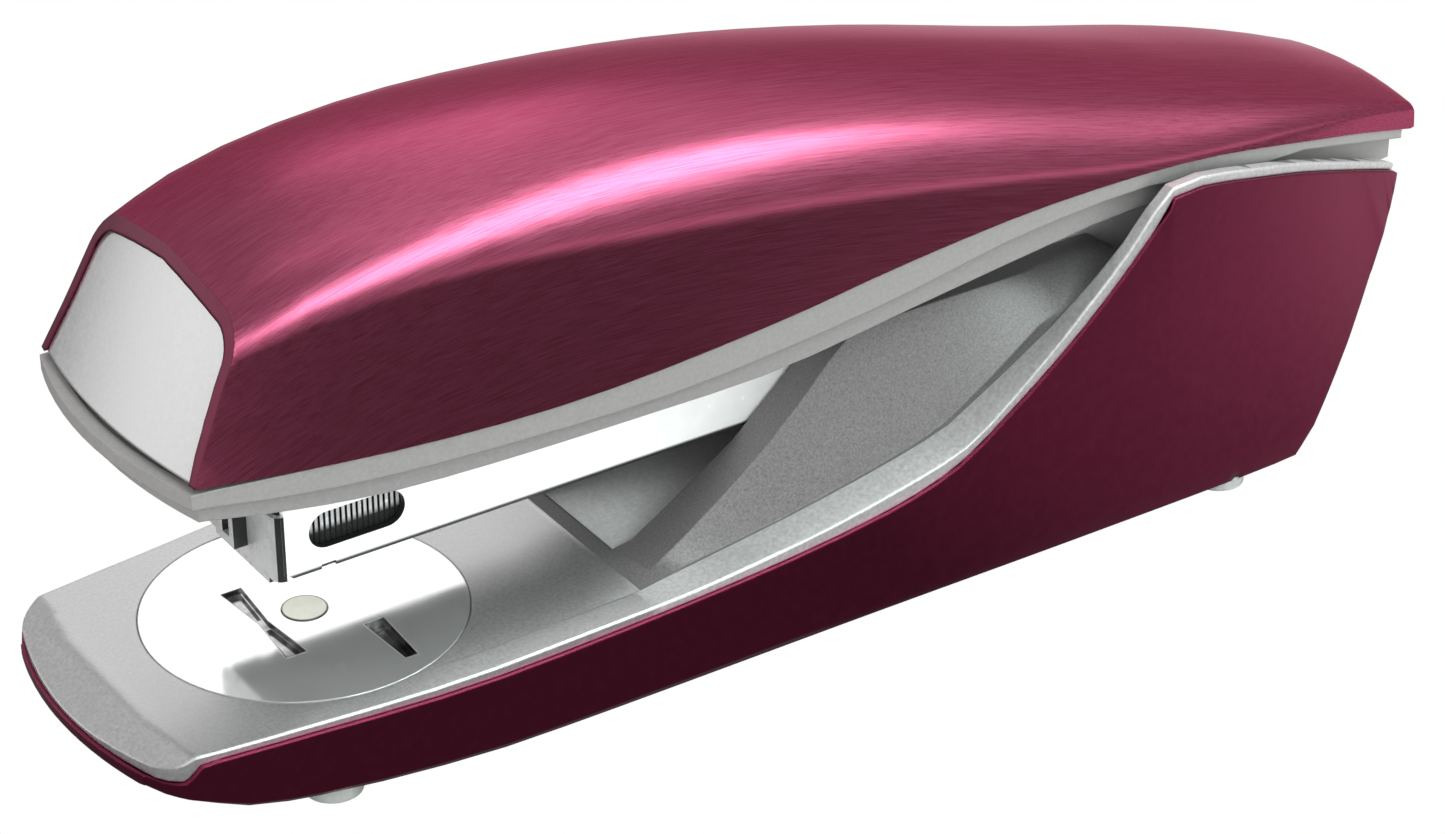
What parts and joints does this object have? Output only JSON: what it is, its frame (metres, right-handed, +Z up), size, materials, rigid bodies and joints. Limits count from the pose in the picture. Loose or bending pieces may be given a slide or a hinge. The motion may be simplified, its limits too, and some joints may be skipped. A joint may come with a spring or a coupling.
{
  "type": "desk stapler",
  "caption": "Desk stapler with a hinged press handle, a sprung top-loading staple magazine and a round turning anvil in a flat deck.",
  "frame": {"origin": "centre of the bounding box in X and Y, at the bottom of the feet", "axes": "-X towards the nose where the staples come out, +Z up, +Y completes the right-handed set; the mirror plane is Y = 0"},
  "size_m": [0.164, 0.044, 0.0602],
  "materials": {
    "garnet_cover": "tinted brushed metal, grain along the length",
    "garnet_shell": "smooth satin paint",
    "silver_liner": "silver paint with a fine grain, blasted on the side walls",
    "nose_satin": "satin",
    "frame_plastic": "satin grey",
    "anvil_chrome": "mirror polish",
    "anvil_button": "satin nickel, warm",
    "magazine_chrome": "mirror polish",
    "staple_wire": "bright wire",
    "plain_steel": "zinc plated",
    "spring_steel": "drawn wire",
    "pusher_plastic": "black moulded",
    "dark_plate": "black coated sheet",
    "foot_rubber": "matte light grey"
  },
  "bodies": {
    "base": {"base_shell": "garnet_shell", "base_liner": "silver_liner", "bottom_plate": "dark_plate", "rubber_feet": "foot_rubber", "hinge_bracket": "plain_steel", "hinge_pin": "plain_steel", "pin_clips": "spring_steel", "bracket_screws": "plain_steel", "base_screws": "plain_steel", "lift_spring": "spring_steel", "anvil_spring": "spring_steel"},
    "anvil_lifter": {"anvil_clip": "spring_steel"},
    "anvil": {"anvil_plate": "anvil_chrome", "anvil_stem": "anvil_button"},
    "magazine": {"magazine_channel": "magazine_chrome", "magazine_nose": "magazine_chrome", "staple_rail": "plain_steel", "rail_stop": "plain_steel", "guide_rod": "plain_steel", "staple_strip": "staple_wire", "handle_spring": "spring_steel", "pusher_spring": "spring_steel"},
    "pusher": {"pusher": "pusher_plastic"},
    "handle": {"cover_shell": "garnet_cover", "nose_plate": "nose_satin", "handle_frame": "frame_plastic", "driver_blade": "plain_steel", "driver_holder": "pusher_plastic", "driver_rivets": "plain_steel", "cover_studs": "spring_steel", "cover_screws": "plain_steel"}
  },
  "joints": [
    {"name": "magazine_press", "type": "hinge", "parent": "base", "child": "magazine", "pos_m": [0.0745, 0, 0.02974], "axis": [0, 1, 0], "range_deg": [-3.4, 0], "stiffness_Nm_per_rad": 2, "springref_deg": 8.59, "deforming": ["lift_spring"]},
    {"name": "handle_hinge", "type": "hinge", "parent": "magazine", "child": "handle", "pos_m": [0.0745, 0, 0.02974], "axis": [0, 1, 0], "range_deg": [-3.1, 50], "stiffness_Nm_per_rad": 1.5, "springref_deg": 2.86, "deforming": ["handle_spring"]},
    {"name": "pusher_slide", "type": "slide", "parent": "magazine", "child": "pusher", "axis": [1, 0, 0], "range_m": [0, 0.022], "stiffness_N_per_m": 40, "springref_m": -0.04, "deforming": ["pusher_spring"]},
    {"name": "anvil_lift", "type": "slide", "parent": "base", "child": "anvil_lifter", "axis": [0, 0, 1], "range_m": [0, 0.0008], "stiffness_N_per_m": 500, "springref_m": -0.002, "deforming": ["anvil_spring"]},
    {"name": "anvil_turn", "type": "hinge", "parent": "anvil_lifter", "child": "anvil", "pos_m": [-0.055, 0, 0.01075], "axis": [0, 0, 1], "range_deg": [0, 180]}
  ]
}
